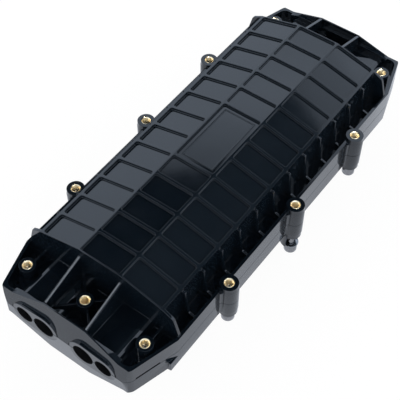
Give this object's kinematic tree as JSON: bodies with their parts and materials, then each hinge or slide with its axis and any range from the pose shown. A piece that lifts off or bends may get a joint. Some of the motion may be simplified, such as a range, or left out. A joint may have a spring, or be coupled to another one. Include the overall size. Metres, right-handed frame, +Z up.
{
  "type": "horizontal fibre splice closure",
  "caption": "Long black ribbed plastic closure of two bolted half shells, with round cable ports in both ends and hinged fibre splice trays inside.",
  "frame": {"origin": "under the middle of the closure, on the surface that the lower shell rests on", "axes": "+X along the closure to its far end, +Y to its left side, +Z up out of the upper shell's roof"},
  "size_m": [0.444, 0.1894, 0.109],
  "materials": {
    "shell": "moulded black, polished outside and satin inside",
    "seal": "soft butyl strip",
    "insert": "turned and threaded",
    "bolt": "polished stainless steel",
    "plate": "zinc plated sheet",
    "screw": "zinc plated",
    "tray": "light grey moulding",
    "holder": "dark soft moulding",
    "cover": "clear sheet",
    "wire": "green insulation",
    "lug": "tinned copper"
  },
  "bodies": {
    "base": {"lower_shell": "shell", "seal_left": "seal", "seal_right": "seal", "end_seals": "seal", "tray_base": "plate", "hinge_bracket": "plate", "anchor_bar_near": "plate", "anchor_bar_far": "plate", "clamp_plates": "plate", "tray_base_screws": "screw", "hinge_screws": "screw", "hinge_pins": "screw", "tray_stud": "screw", "wing_nut": "screw", "anchor_screws": "screw", "clamp_screws": "screw", "earth_screws": "screw", "splice_tray_1": "tray", "splice_tray_2": "tray", "splice_tray_3": "tray", "splice_tray_4": "tray", "splice_holders": "holder", "tray_cover": "cover", "earth_wire": "wire", "earth_lugs": "lug"},
    "cover": {"upper_shell": "shell", "brass_inserts": "insert"},
    "bolts": {"closing_bolts": "bolt", "bolt_washers": "bolt"},
    "backed_out_bolt": {"loose_bolt": "bolt", "loose_washer": "bolt"}
  },
  "joints": [
    {"name": "cover_lift", "type": "slide", "parent": "base", "child": "cover", "axis": [0, 0, 1], "range_m": [0, 0.13]},
    {"name": "bolts_out", "type": "slide", "parent": "base", "child": "bolts", "axis": [0, 0, -1], "range_m": [0, 0.018]},
    {"name": "loose_bolt_in", "type": "slide", "parent": "base", "child": "backed_out_bolt", "axis": [0, 0, 1], "range_m": [0, 0.0138]}
  ]
}
